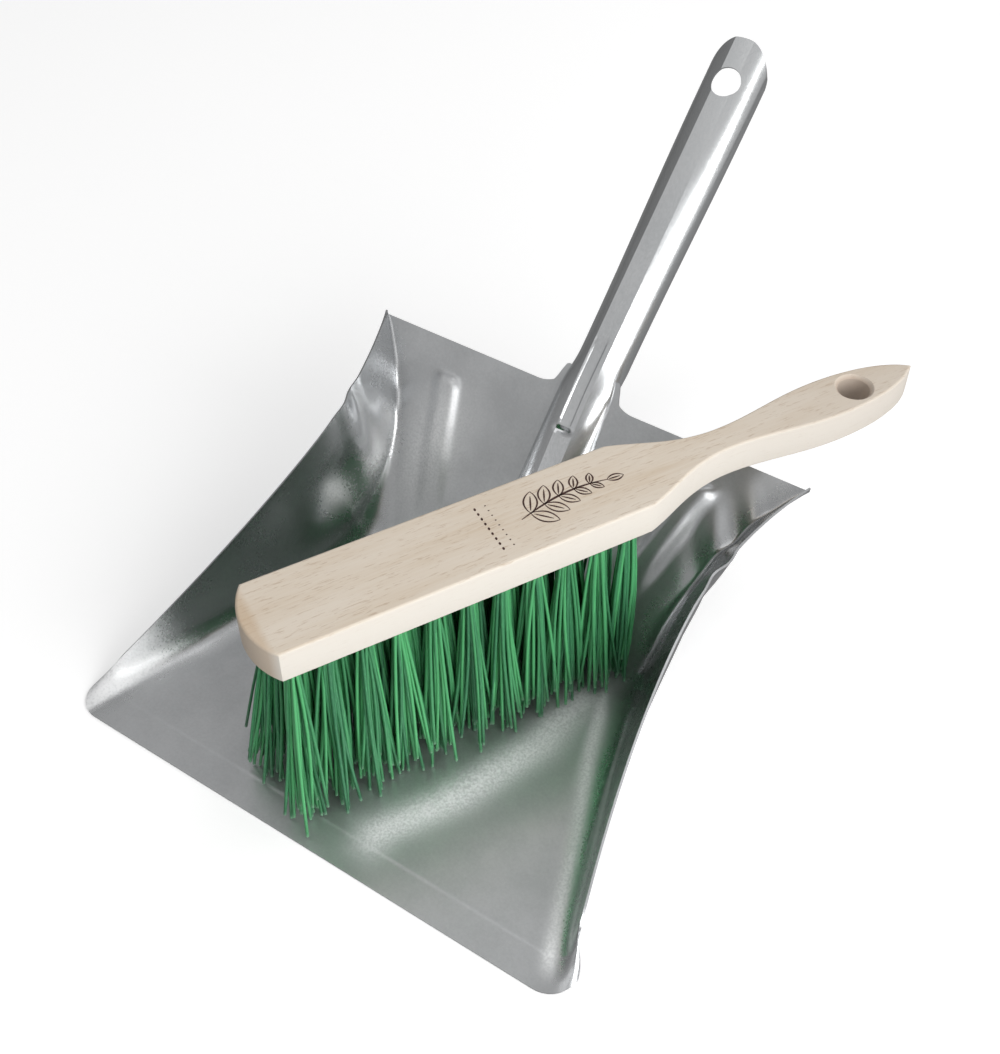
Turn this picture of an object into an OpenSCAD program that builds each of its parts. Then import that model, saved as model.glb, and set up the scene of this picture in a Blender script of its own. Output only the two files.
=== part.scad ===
// Dust pan and hand brush set.
// The pan lies flat on its floor and the brush stands in it on its bristles.
// X runs across the pan, +Y from the front lip to the handle, +Z up.
// The origin is the middle of the pan's flat underside. Lengths in millimetres.

/* [Pan] */
// Width across the front lip
front_w = 220; // [180:1:270]
// Depth from the front lip to the back edge
pan_d = 191; // [160:1:235]
// Depth of the back wall, from the rear fold to the back edge
wall_d = 64; // [50:1:69]
// Width of the floor at the rear fold
rear_floor_w = 134; // [110:1:150]
// Width across the narrowest place of the side edges
waist_w = 167; // [156:1:190]
// Distance of the narrowest place from the front lip
waist_y = 130; // [120:1:150]
// How early the side walls rise: 1 is an even rise from lip to ear
side_rise = 1.27; // [1:0.01:1.4]
// Width across the two rear ears
ear_w = 194; // [180:1:230]
// Slope of the back wall
wall_slope = 47.5; // [42:0.5:50]
// Rise of the ears above the back edge
ear_rise = 2; // [0:0.5:6]
// Thickness of the sheet steel
sheet_t = 0.8; // [0.6:0.1:1.4]
// Thickness of the front lip at its edge
lip_t = 0.4; // [0.3:0.1:0.6]
// Depth of the bevelled front lip
lip_d = 12.5; // [8:0.5:18]
// Radius of the rounded front corners, in plan
corner_r = 11; // [4:1:14]
// Half length of the soft fold between floor and back wall
fold_r = 9; // [6:1:14]
// Width of the soft fold between floor and side wall, at the front
side_fold = 14; // [8:1:18]

/* [Back wall ribs] */
// Distance between the two ribs at their upper ends
rib_top_gap = 120; // [110:1:130]
// Distance between the two ribs at their lower ends
rib_low_gap = 88; // [80:1:100]
// Width of one rib
rib_w = 14; // [10:1:18]
// Height of one rib
rib_h = 2.6; // [1:0.2:4]

/* [Handle] */
// Slope of the handle
grip_slope = 40; // [25:1:47]
// Length of the handle, from the back edge of the pan to its end
grip_len = 153; // [110:1:190]
// Width of the handle channel
grip_w = 24.6; // [22:0.2:34]
// Height of the handle channel
grip_h = 10; // [8:0.2:13]
// How far the channel's rims hang below the back edge
grip_drop = 4; // [3:0.2:7]
// Width of the flat crown of the channel
crown_w = 8.6; // [5:0.2:12]
// Thickness of the handle sheet
grip_t = 0.9; // [0.7:0.1:1.4]
// Length of the ridge that runs down the back wall
ridge_len = 62; // [45:1:66]
// Width of the ridge at its foot
ridge_w = 28; // [24:0.2:34]
// Length of the rounded end
end_len = 17; // [11:1:20]
// Diameter of the hanging hole
pan_hole_d = 12; // [8:0.5:13]
// Distance of the hanging hole from the end
pan_hole_at = 18.7; // [14:0.1:24]

/* [Brush block] */
// Width of the brush block
block_w = 34.4; // [30:0.2:44]
// Thickness of the brush block
block_t = 13.8; // [11:0.2:18]
// Length of the straight part, from the front end to the shoulder
block_len = 140; // [110:1:170]
// Length of the wooden handle, from the shoulder to the tip
tail_len = 128; // [105:1:160]
// Width of the narrow neck
neck_w = 11.4; // [10:0.2:16]
// Distance of the neck from the shoulder
neck_at = 41; // [34:1:50]
// Width of the grip near the tip
tail_w = 20.4; // [19:0.2:26]
// Distance of the widest place of the grip from the tip
tail_at = 40; // [34:1:46]
// Bulge of the front end
end_bulge = 6; // [3:0.5:9]
// Diameter of the hanging hole in the wood
brush_hole_d = 12.4; // [8:0.2:13]
// Distance of that hole from the tip
brush_hole_at = 27.5; // [24:0.5:33]
// Width of the bevel round the hole's two rims
brush_hole_bevel = 1.3; // [0.5:0.1:1.8]

/* [Bristles] */
// Number of tufts in each outer row
tufts = 11; // [8:1:12]
// Distance of the first tuft from the front end
tuft_start = 5; // [4:0.5:10]
// Distance of the last tuft from the shoulder
tuft_stop = 7; // [5:0.5:14]
// Distance between two rows
row_gap = 8.2; // [7.4:0.1:9.5]
// Diameter of a tuft hole
tuft_hole_d = 4.8; // [4:0.1:5.4]
// Depth of a tuft hole
tuft_hole_h = 8; // [6:0.5:10]
// Length of the bristles below the block
bristle_len = 76; // [55:1:95]
// Gap between two splayed tufts at their tips
tip_gap = 0.7; // [0.4:0.1:1.5]

/* [Brush in the pan] */
// Place of the brush's front end across the pan
brush_x = -19.2; // [-30:0.2:0]
// Place of the brush's front end behind the front lip
brush_y = 18.8; // [14:0.2:30]
// Direction of the brush, turned from straight across
brush_turn = 62; // [56:0.5:70]
// Gap between the bristle tips and the pan
stand_gap = 0.7; // [0.4:0.1:1.5]

/* [Hidden] */
steel_colour = [0.66, 0.68, 0.69];
wood_colour = [0.86, 0.76, 0.62];
bristle_colour = [0.16, 0.50, 0.30];
row_names = ["near", "inner_near", "inner_far", "far"];
rows = len(row_names);
// A deeper pan has a longer floor under the same back wall, so the wall
// stays below the brush
floor_d = pan_d - wall_d;

function row_count(r) = r % 2 == 0 ? tufts : tufts - 1;
function two_digits(k) = str(k < 10 ? "0" : "", k);
function tuft_name(r, k) = str("bristle_tuft_", row_names[r], "_", two_digits(k + 1));

// ---- The pan's inner surface, as a height above the underside ----

function clamp(v, low, high) = min(high, max(low, v));
function smooth(v) = let(t = clamp(v, 0, 1)) t * t * (3 - 2 * t);
function mix(a, b, t) = a + (b - a) * t;

// Straight rise that starts with a soft parabola of half length r
function soft_rise(d, r) = d < -r ? 0 : d > r ? d : (d + r) * (d + r) / (4 * r);

// Height of the floor and the back wall in the middle of the pan
function floor_z(y) =
    (y < lip_d ? mix(lip_t, sheet_t, y / lip_d) : sheet_t)
    + tan(wall_slope) * soft_rise(y - floor_d, fold_r);
back_z = floor_z(pan_d);
ear_z = back_z + ear_rise;

// Half width at which the floor or back wall meets the side wall
front_floor_w = front_w - 8;
function seam_x(y) = y < floor_d
    ? mix(front_floor_w, rear_floor_w, y / floor_d) / 2
    : mix(rear_floor_w, ear_w, pow((y - floor_d) / (pan_d - floor_d), 2.6)) / 2;

// Outer edge of the side wall: half width and height
function edge_x(y) = y < waist_y
    ? mix(waist_w, front_w, pow(1 - y / waist_y, 1.65)) / 2
    : mix(waist_w, ear_w, pow((y - waist_y) / (pan_d - waist_y), 1.85)) / 2;
function edge_z(y) = let(t = y / pan_d)
    mix(lip_t, ear_z, t * (side_rise - (side_rise - 1) * pow(t, 2.2)));

// Fold between floor and side wall, narrower towards the ears
function fold_w(y) = mix(side_fold, 2, smooth(y / pan_d));

// Height added by a rib of the back wall
rib_top_y = pan_d - 8;
rib_low_y = floor_d + 14;
function rib_x(y) = mix(rib_low_gap, rib_top_gap, (y - rib_low_y) / (rib_top_y - rib_low_y)) / 2;
function rib_z(x, y) =
    rib_h / cos(wall_slope)
    * smooth(1.25 * (1 - abs(abs(x) - rib_x(y)) / (rib_w / 2)))
    * smooth((rib_top_y - y) / 5) * smooth((y - rib_low_y) / 20);

// Point of the inner surface: s is 0 in the middle, 1 at the seam's
// fold, 2 at its end on the side wall and 3 at the outer edge
function corner_back(x) = let(d = x - (front_w / 2 - corner_r))
    d > 0 ? corner_r - sqrt(max(0, corner_r * corner_r - d * d)) : 0;
function side_point(y, s) =
    let(c = seam_x(y), z = floor_z(y), ex = edge_x(y), ez = edge_z(y),
        reach = norm([ex - c, ez - z]) + 0.001,
        f = min(fold_w(y), 0.45 * reach),
        a = [c - f, z], b = [c, z],
        e = b + [ex - c, ez - z] * f / reach,
        t = s - 1)
    s <= 1 ? [a[0] * s, z]
    : s <= 2 ? a * (1 - t) * (1 - t) + b * 2 * t * (1 - t) + e * t * t
    : mix(e, [ex, ez], s - 2);
function pan_point(y, s) =
    let(p = side_point(y, abs(s)), x = sign(s) * p[0],
        back = corner_back(side_point(0, abs(s))[0]) * (1 - smooth(y / 24)))
    [x, y + back, p[1] + (abs(s) <= 1 ? rib_z(x, y) : 0)];

// Stations along the depth: few on the flat floor, more on the folds
fold_y0 = floor_d - fold_r;
fold_y1 = floor_d + fold_r;
ys = concat(
    [0, 2, 5, 9], [lip_d],
    [for (i = [1:6]) mix(lip_d, fold_y0, i / 6)],
    [for (i = [1:6]) mix(fold_y0, fold_y1, i / 6)],
    [for (i = [1:15]) mix(fold_y1, pan_d, i / 15)]);
// Stations across: the middle, the ribs, the fold and the side wall
ss_right = concat(
    [0, 0.2, 0.4, 0.52],
    [for (i = [1:11]) mix(0.52, 1, i / 11)],
    [for (i = [1:5]) 1 + i / 5],
    [for (i = [1:4]) 2 + i / 4]);
nr = len(ss_right);
ss = concat([for (i = [nr - 1:-1:1]) -ss_right[i]], ss_right);

inner = [for (y = ys) [for (s = ss) pan_point(y, s)]];
ni = len(ys);
nj = len(ss);
function at(i, j) = inner[clamp(i, 0, ni - 1)][clamp(j, 0, nj - 1)];
function unit(v) = v / norm(v);
function normal(i, j) = unit(cross(at(i, j + 1) - at(i, j - 1), at(i + 1, j) - at(i - 1, j)));
// The lip thins towards the front, so its underside stays flat
function skin(i, j) = ys[i] < lip_d ? mix(lip_t, sheet_t, ys[i] / lip_d) : sheet_t;
outer = [for (i = [0:ni - 1]) [for (j = [0:nj - 1])
    let(p = at(i, j), n = normal(i, j), flat = p[2] < sheet_t + 0.001)
    flat ? [p[0], p[1], p[2] - skin(i, j)] : p - n * skin(i, j)]];
function flat_list(g) = [for (row = g) for (p = row) p];
function quad(a, b, c, d) = [[a, b, c], [a, c, d]];
function top(i, j) = i * nj + j;
function low(i, j) = ni * nj + i * nj + j;
pan_faces = concat(
    [for (i = [0:ni - 2]) for (j = [0:nj - 2])
        for (f = quad(top(i, j), top(i + 1, j), top(i + 1, j + 1), top(i, j + 1))) f],
    [for (i = [0:ni - 2]) for (j = [0:nj - 2])
        for (f = quad(low(i, j), low(i, j + 1), low(i + 1, j + 1), low(i + 1, j))) f],
    [for (i = [0:ni - 2])
        for (f = quad(top(i, 0), low(i, 0), low(i + 1, 0), top(i + 1, 0))) f],
    [for (i = [0:ni - 2])
        for (f = quad(top(i, nj - 1), top(i + 1, nj - 1), low(i + 1, nj - 1), low(i, nj - 1))) f],
    [for (j = [0:nj - 2])
        for (f = quad(top(0, j), top(0, j + 1), low(0, j + 1), low(0, j))) f],
    [for (j = [0:nj - 2])
        for (f = quad(top(ni - 1, j), low(ni - 1, j), low(ni - 1, j + 1), top(ni - 1, j + 1))) f]);

// Everything is laid out from the front lip and then moved to the origin
module from_lip() translate([0, -floor_d / 2, 0]) children();

module pan_body() color(steel_colour) from_lip()
    polyhedron(points = concat(flat_list(inner), flat_list(outer)), faces = pan_faces, convexity = 8);

// ---- The handle: a folded channel that runs on down the back wall ----

// Lays local Z along a slope, with local Y as the height above it
module up_slope(a) rotate([a - 90, 0, 0]) mirror([0, 1, 0]) children();

// How far the knee and the flank of the channel lie in from its rims
knee_in = 0.7;
flank_in = 3.6;
// Outline of a folded channel, w wide at its rims and h high, or of the
// hollow inside it when cut is the thickness of the sheet
module channel_outline(w, h, cut = 0)
    polygon([
        [-w / 2 + cut, 0], [-w / 2 + knee_in + cut, 0.3 * h],
        [-w / 2 + flank_in + 0.7 * cut, 0.76 * h - 0.7 * cut],
        [-crown_w / 2 + 0.3 * cut, h - cut], [crown_w / 2 - 0.3 * cut, h - cut],
        [w / 2 - flank_in - 0.7 * cut, 0.76 * h - 0.7 * cut],
        [w / 2 - knee_in - cut, 0.3 * h], [w / 2 - cut, 0]]);
module channel(w, h, len)
    linear_extrude(len) difference() {
        channel_outline(w, h);
        channel_outline(w, h, grip_t);
    }
// Outline of the handle from above, with its rounded end
end_steps = 12;
end_power = 0.8;
end_w = grip_w / 2 + 0.01;
end_y = grip_len - end_len;
module grip_plan(start)
    polygon(concat(
        [[-grip_w, start], [grip_w, start], [grip_w, end_y]],
        [for (i = [0:end_steps]) let(a = 90 * i / end_steps)
            [end_w * pow(cos(a), end_power), end_y + end_len * sin(a)]],
        [for (i = [1:end_steps]) let(a = 90 * (1 - i / end_steps))
            [-end_w * pow(cos(a), end_power), end_y + end_len * sin(a)]],
        [[-grip_w, end_y]]));
// The ridge is as high as the handle's crown where the two meet
ridge_h = grip_h - grip_drop + 0.3;
// The channel starts below the bend and is cut away where the wall is
bend_lap = 9;
edge_gap = 0.3;
module grip_part() difference() {
    intersection() {
        translate([0, -grip_drop, -bend_lap]) channel(grip_w, grip_h, grip_len + bend_lap);
        rotate([90, 0, 0]) translate([0, 0, -2 * grip_h])
            linear_extrude(4 * grip_h) grip_plan(-bend_lap - 1);
    }
    translate([0, 0, grip_len - pan_hole_at]) rotate([-90, 0, 0])
        cylinder(h = grip_h + 1, d = pan_hole_d, $fn = 64);
}
module wall_space()
    translate([-ridge_w, -3 * grip_h, -3 * grip_h])
        cube([2 * ridge_w, 3 * grip_h, 3 * grip_h + edge_gap]);
// The ridge ends at its foot in a slanted nose that lies down on the wall
nose_len = 14;
nose_slope = atan(ridge_h / nose_len);
module ridge_part()
    difference() {
        intersection() {
            translate([0, 0, -ridge_len]) linear_extrude(ridge_len)
                channel_outline(ridge_w, ridge_h);
            translate([-ridge_w, 0, -ridge_len]) rotate([90 - nose_slope, 0, 0])
                translate([0, -3 * ridge_len, 0])
                    cube([2 * ridge_w, 6 * ridge_len, 3 * ridge_len]);
        }
        intersection() {
            translate([0, 0, -ridge_len - 1]) linear_extrude(ridge_len + 2)
                channel_outline(ridge_w, ridge_h, grip_t);
            translate([-ridge_w, 0, -ridge_len + grip_t / sin(nose_slope)])
                rotate([90 - nose_slope, 0, 0]) translate([0, -3 * ridge_len, 0])
                    cube([2 * ridge_w, 6 * ridge_len, 3 * ridge_len]);
        }
    }
module pan_handle() color(steel_colour) from_lip() translate([0, pan_d, back_z]) {
    difference() {
        up_slope(grip_slope) grip_part();
        up_slope(wall_slope) wall_space();
    }
    up_slope(wall_slope) ridge_part();
}

// ---- The brush ----

under_z = sheet_t + stand_gap + bristle_len;
module in_brush() from_lip() translate([brush_x, brush_y, under_z]) rotate([0, 0, brush_turn]) children();

// Curve through four control points
function curve(a, b, c, d, t) =
    a * pow(1 - t, 3) + 3 * b * t * pow(1 - t, 2) + 3 * c * t * t * (1 - t) + d * pow(t, 3);
curve_steps = 9;
tip_x = block_len + tail_len;
neck_x = block_len + neck_at;
grip_x = tip_x - tail_at;
half_outline = concat(
    [[block_len, block_w / 2]],
    [for (i = [1:curve_steps]) curve(
        [block_len, block_w / 2], [block_len + 0.3 * neck_at, 0.4 * block_w],
        [neck_x - 0.44 * neck_at, neck_w / 2], [neck_x, neck_w / 2], i / curve_steps)],
    [for (i = [1:curve_steps]) curve(
        [neck_x, neck_w / 2], [mix(neck_x, grip_x, 0.34), neck_w / 2],
        [mix(neck_x, grip_x, 0.62), tail_w / 2], [grip_x, tail_w / 2], i / curve_steps)],
    [for (i = [1:curve_steps]) curve(
        [grip_x, tail_w / 2], [grip_x + 0.45 * tail_at, tail_w / 2],
        [grip_x + 0.82 * tail_at, 0.32 * tail_w], [tip_x, 0], i / curve_steps)]);
ho = len(half_outline);
bulge_r = (pow(block_w / 2, 2) + end_bulge * end_bulge) / (2 * end_bulge);
bulge_a = asin(block_w / 2 / bulge_r);
bulge_steps = 12;
module block_outline() polygon(concat(
    half_outline,
    [for (i = [2:ho]) [half_outline[ho - i][0], -half_outline[ho - i][1]]],
    [for (i = [0:bulge_steps]) let(a = mix(-bulge_a, bulge_a, i / bulge_steps))
        [bulge_r - end_bulge - bulge_r * cos(a), bulge_r * sin(a)]]));

function tuft_x(r, k) =
    let(pitch = (block_len - tuft_start - tuft_stop) / (tufts - 1))
    tuft_start + pitch * (k + (r % 2) / 2);
function tuft_y(r) = (r - (rows - 1) / 2) * row_gap;

hole_x = tip_x - brush_hole_at;
rim_d = brush_hole_d + 2 * brush_hole_bevel;
module brush_block() color(wood_colour) in_brush() difference() {
    linear_extrude(block_t) block_outline();
    translate([hole_x, 0, -1]) cylinder(h = block_t + 2, d = brush_hole_d, $fn = 64);
    translate([hole_x, 0, block_t - brush_hole_bevel])
        cylinder(h = brush_hole_bevel, d1 = brush_hole_d, d2 = rim_d, $fn = 64);
    translate([hole_x, 0, 0])
        cylinder(h = brush_hole_bevel, d1 = rim_d, d2 = brush_hole_d, $fn = 64);
    for (r = [0:rows - 1]) for (k = [0:row_count(r) - 1])
        translate([tuft_x(r, k), tuft_y(r), -1])
            cylinder(h = tuft_hole_h + 1, d = tuft_hole_d, $fn = 32);
}

// Radius of a splayed tip: half the way to the next tuft, less the gap
pitch = (block_len - tuft_start - tuft_stop) / (tufts - 1);
tip_r = (norm([pitch / 2, row_gap]) - tip_gap) / 2;
root_r = tuft_hole_d / 2 - 0.1;
// A tuft over the rear fold is shorter, because the wall rises under it
function tuft_len(r, k) =
    let(rear = brush_y + tuft_x(r, k) * sin(brush_turn) + tuft_y(r) * cos(brush_turn) + tip_r)
    bristle_len - (floor_z(max(rear, lip_d)) - sheet_t);
module tuft(r, k) color(bristle_colour) in_brush() translate([tuft_x(r, k), tuft_y(r), 0]) {
    cylinder(h = tuft_hole_h, r = root_r, $fn = 32);
    translate([0, 0, -tuft_len(r, k)])
        cylinder(h = tuft_len(r, k), r1 = tip_r, r2 = root_r, $fn = 32);
}

pan_body();
pan_handle();
brush_block();
for (r = [0:rows - 1]) for (k = [0:row_count(r) - 1])
    tuft(r, k);
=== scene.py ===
# %% [markdown]
# # A sheet steel dust pan and its hand brush
# The real set is three things: a scoop pressed from zinc-plated sheet, a handle folded from the
# same sheet, and a beech brush with stiff green bristles. The imported CAD model fixes every size
# and place. This lesson gives each piece its real surface and stands the set in a plain studio.
#
# All lengths below are in millimetres until a mesh is made, because that is how such things are
# measured. The imported model comes first, and its parts are kept.

# %% Load the fixed frame
import math

import bmesh
import bpy
import numpy as np
from mathutils import Matrix, Vector


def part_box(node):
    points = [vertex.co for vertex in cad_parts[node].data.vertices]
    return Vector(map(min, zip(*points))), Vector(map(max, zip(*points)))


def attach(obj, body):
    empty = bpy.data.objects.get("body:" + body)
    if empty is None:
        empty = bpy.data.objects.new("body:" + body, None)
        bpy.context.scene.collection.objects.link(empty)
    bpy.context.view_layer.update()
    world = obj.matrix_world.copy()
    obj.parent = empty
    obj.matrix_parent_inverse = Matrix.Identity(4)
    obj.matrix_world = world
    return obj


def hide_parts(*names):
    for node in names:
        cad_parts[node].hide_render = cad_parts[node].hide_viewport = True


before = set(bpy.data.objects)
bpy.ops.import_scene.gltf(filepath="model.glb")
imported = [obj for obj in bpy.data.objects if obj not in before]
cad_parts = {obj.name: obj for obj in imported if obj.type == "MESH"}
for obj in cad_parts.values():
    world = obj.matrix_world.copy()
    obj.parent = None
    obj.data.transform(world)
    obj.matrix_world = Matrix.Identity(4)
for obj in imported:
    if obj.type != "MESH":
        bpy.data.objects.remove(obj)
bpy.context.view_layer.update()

MM = 0.001

# %% [markdown]
# ## Small helpers
# Every piece here starts as lists of points and faces, so one helper turns such lists into an
# object. Shading is smooth with sharp creases: a crease is an edge whose two faces turn by more
# than a given angle, the way a metal fold or a sawn edge looks. Doubles are merged before the
# normals are recalculated, so that every closed shell ends with its faces pointing outwards.

# %% Helpers for meshes
def make_piece(name, points_mm, faces, crease_deg=35.0):
    """Makes an object from points in millimetres and tidies its mesh."""
    mesh = bpy.data.meshes.new(name)
    mesh.from_pydata([tuple(np.asarray(p, float) * MM) for p in points_mm], [], faces)
    piece = bpy.data.objects.new(name, mesh)
    bpy.context.scene.collection.objects.link(piece)
    tidy_mesh(piece, crease_deg)
    return piece


def tidy_mesh(piece, crease_deg, flat_corners=16):
    """Merges doubles, points faces outwards and marks creases and the rims of large flat faces."""
    work = bmesh.new()
    work.from_mesh(piece.data)
    bmesh.ops.remove_doubles(work, verts=work.verts, dist=2e-6)
    bmesh.ops.dissolve_degenerate(work, edges=work.edges, dist=1e-6)
    bmesh.ops.recalc_face_normals(work, faces=work.faces)
    limit = math.radians(crease_deg)
    for face in work.faces:
        face.smooth = True
    for edge in work.edges:
        large = any(len(face.verts) > flat_corners for face in edge.link_faces)
        edge.smooth = len(edge.link_faces) == 2 and edge.calc_face_angle(0.0) < limit and not large
    work.to_mesh(piece.data)
    work.free()


def grid_shell(front, back):
    """A closed sheet from two grids of points with the same rows and columns."""
    rows, cols = len(front), len(front[0])
    points = [p for grid in (front, back) for row in grid for p in row]
    half = rows * cols
    faces = []
    for i in range(rows - 1):
        for j in range(cols - 1):
            a, b = i * cols + j, (i + 1) * cols + j
            faces.append((a, a + 1, b + 1, b))
            faces.append((half + a, half + b, half + b + 1, half + a + 1))
    rim = list(range(cols)) + [i * cols + cols - 1 for i in range(1, rows)]
    rim += [(rows - 1) * cols + j for j in range(cols - 2, -1, -1)]
    rim += [i * cols for i in range(rows - 2, 0, -1)]
    for a, b in zip(rim, rim[1:] + rim[:1]):
        faces.append((b, a, half + a, half + b))
    return points, faces


def apply_modifiers(piece):
    """Bakes the live modifiers into a plain mesh."""
    bpy.context.view_layer.update()
    graph = bpy.context.evaluated_depsgraph_get()
    done = bpy.data.meshes.new_from_object(piece.evaluated_get(graph))
    piece.modifiers.clear()
    piece.data = done


def carve(piece, cutter, how):
    """Cuts a piece with a cutter, which is then removed."""
    cut = piece.modifiers.new(how, "BOOLEAN")
    cut.operation, cut.solver, cut.object = how, "EXACT", cutter
    apply_modifiers(piece)
    bpy.data.objects.remove(cutter)


def prism(name, outline, low, high, place=lambda x, y, z: (x, y, z)):
    """A closed prism over an outline, with each corner put in place by a function."""
    n = len(outline)
    points = [place(x, y, z) for z in (low, high) for x, y in outline]
    faces = [tuple(range(n - 1, -1, -1)), tuple(range(n, 2 * n))]
    faces += [(i, (i + 1) % n, n + (i + 1) % n, n + i) for i in range(n)]
    return make_piece(name, points, faces)


def ring(cx, cy, r, n=48):
    """Points evenly spaced on a circle."""
    angles = [2 * math.pi * i / n for i in range(n)]
    return [(cx + r * math.cos(a), cy + r * math.sin(a)) for a in angles]


def stations(*parts):
    """Positions from stretches of (start, end, steps)."""
    out = []
    for a, b, n in parts:
        out += [mix(a, b, i / n) for i in range(n)]
    return out + [parts[-1][1]]


def smooth(v):
    """A soft step: 0 below 0, 1 above 1."""
    v = min(1.0, max(0.0, v))
    return v * v * (3 - 2 * v)


def mix(a, b, t):
    return a + (b - a) * t


def hump(v, centre, half):
    """A soft hump, 1 at the centre and 0 beyond half on either side."""
    return smooth(1 - abs(v - centre) / half)


def count(piece):
    print(piece.name, len(piece.data.vertices), "points,", len(piece.data.polygons), "faces")


print("helpers ready, lengths in steps of", MM, "m")

# %% [markdown]
# ## The camera
# The camera stands in front and to the right of the pan and looks down at it. Its place and its
# three directions are written out as numbers, so the view never depends on a tracking constraint.

# %% Camera
camera_data = bpy.data.cameras.new("camera")
sensor_w, lens_share = 36.0, 1400.0 / 1054.0
camera_data.sensor_width = sensor_w
camera_data.lens = lens_share * sensor_w
camera_data.clip_start = 0.01
camera = bpy.data.objects.new("camera", camera_data)
bpy.context.scene.collection.objects.link(camera)
bpy.context.scene.camera = camera
yaw, elevation, roll = math.radians(-33.40), math.radians(46.0), math.radians(-0.12)
turn = (Matrix.Rotation(-yaw, 3, "Z") @ Matrix.Rotation(math.pi / 2 - elevation, 3, "X")
        @ Matrix.Rotation(-roll, 3, "Z"))
camera_place = (0.2053, -0.2444, 0.4345)
camera.matrix_world = Matrix.Translation(camera_place) @ turn.to_4x4()
print("lens", round(camera_data.lens, 2), "mm")

# %% [markdown]
# ## The scoop
# The scoop is one sheet, pressed so that its floor stays flat, its sides rise towards the ears
# and its back leans. Such a surface follows a rule, so it is made as a grid: one direction runs
# from the lip to the back edge, the other across, from the middle over the soft fold to the
# outer edge. The rule is the CAD model's own. The grid here is much finer, and it adds what
# pressing and use leave behind: the step of the lip, two ribs, wrinkles in the side edges where
# the sheet had too much length, a hollow where each side runs into its corner, folds in the back
# wall under the ears, and one dent in the left side. Two numbers are stored on each point for the
# finish to read later: how far it lies up a side wall, and where highlights are painted on it.

# %% Sizes of the scoop
pan_low, pan_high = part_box("pan_body")
front_y = pan_low.y / MM
front_w = (pan_high.x - pan_low.x) / MM
pan_d, floor_d = 191.0, 127.0
floor_w0, floor_w1 = front_w - 8, 134.0
waist_w, waist_y, ear_w = 167.0, 130.0, 194.0
wall_slope = math.radians(47.5)
sheet_t, lip_t, lip_d, fold_r = 0.8, 0.4, 12.5, 9.0
corner_r, side_rise, side_fold, rear_fold = 11.0, 1.27, 14.0, 2.0
rib_top_x, rib_low_x, rib_w, rib_h = 60.0, 44.0, 16.0, 3.0
fold_share, left_fold_share = 0.5, 0.9
corner_fold, hollow_depth, wrinkle_depth, dent_depth = 8.0, 2.4, 1.3, 2.4
swelling, right_ear_fold, left_ear_fold, wave_len = 0.6, 1.7, 0.9, 3.4
web_x, web_rise, web_foot = 11.6, 5.0, 1.8
print("scoop", round(front_w, 1), "mm wide at the lip,", pan_d, "mm deep")

# %% The rule of the scoop's surface
def wall_z(y):
    d = y - floor_d
    rise = 0.0 if d < -fold_r else d if d > fold_r else (d + fold_r) ** 2 / (4 * fold_r)
    return sheet_t + math.tan(wall_slope) * rise


def floor_z(y):
    """The lip is thinner than the floor, and a small step divides them."""
    lip = mix(lip_t, sheet_t - 0.14, y / lip_d)
    return wall_z(y) + (lip - sheet_t) * (1 - smooth((y - lip_d + 0.8) / 1.6))


back_z = wall_z(pan_d)
ear_z = back_z + 2.0


def seam_x(y):
    if y < floor_d:
        return mix(floor_w0, floor_w1, y / floor_d) / 2
    return mix(floor_w1, ear_w, ((y - floor_d) / (pan_d - floor_d)) ** 2.6) / 2


def edge_point(y):
    if y < waist_y:
        x = mix(waist_w, front_w, (1 - y / waist_y) ** 1.65) / 2
    else:
        x = mix(waist_w, ear_w, ((y - waist_y) / (pan_d - waist_y)) ** 1.85) / 2
    t = y / pan_d
    return np.array([x, mix(lip_t, ear_z, t * (side_rise - (side_rise - 1) * t ** 2.2))])


def section(y, s):
    """Section at depth y: |s| is 0 to 1 over the floor, to 2 over the fold, to 3 up the side.

    On the left, where s is negative, the fold is wider near the lip.
    """
    front_share = left_fold_share if s < 0 else fold_share
    s = abs(s)
    c, z, edge = seam_x(y), floor_z(y), edge_point(y)
    reach = math.hypot(edge[0] - c, edge[1] - z) + 0.001
    wanted = mix(side_fold, rear_fold, smooth(y / pan_d)) + corner_fold * hump(y, 126, 32)
    widest = mix(front_share, fold_share, smooth(y / 45)) * reach
    f = min(wanted, widest)
    a, b = np.array([c - f, z]), np.array([c, z])
    e = b + (edge - b) * f / reach
    t = s - 1
    if s <= 1:
        return np.array([a[0] * s, z])
    if s <= 2:
        return a * (1 - t) ** 2 + b * 2 * t * (1 - t) + e * t * t
    p = mix(e, edge, s - 2)
    side = np.array([edge[1] - z, c - edge[0]]) / reach
    hollow = hollow_depth * hump(y, 128, 60) * math.sin(math.pi * (s - 2)) ** 1.3
    wrinkle = wrinkle_depth * smooth(s - 2.1) * math.sin((y - 146) / wave_len) * hump(y, 147, 13)
    return p + side * (hollow + wrinkle)


def rib(x, y):
    top_y, low_y = pan_d - 8, floor_d + 14
    centre = mix(rib_low_x, rib_top_x, (y - low_y) / (top_y - low_y))
    ends = smooth((top_y - y) / 5) * smooth((y - low_y) / 20)
    across = smooth(1.35 * (1 - abs(abs(x) - centre) / (rib_w / 2)))
    return rib_h / math.cos(wall_slope) * across * ends


def corner_back(x):
    d = x - (front_w / 2 - corner_r)
    return corner_r - math.sqrt(max(0.0, corner_r ** 2 - d * d)) if d > 0 else 0.0


def waves(x, y):
    """Waviness of thin sheet, a few tenths of a millimetre, with the swelling and ear folds."""
    return (0.16 * math.sin(x / 23 + 1.1) * math.sin(y / 31 + 0.4)
            + 0.10 * math.sin(x / 13 - y / 17) + 0.05 * math.sin(y / 9 + x / 40)
            + sweep_mark(x, y) + ear_folds(x, y))


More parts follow.
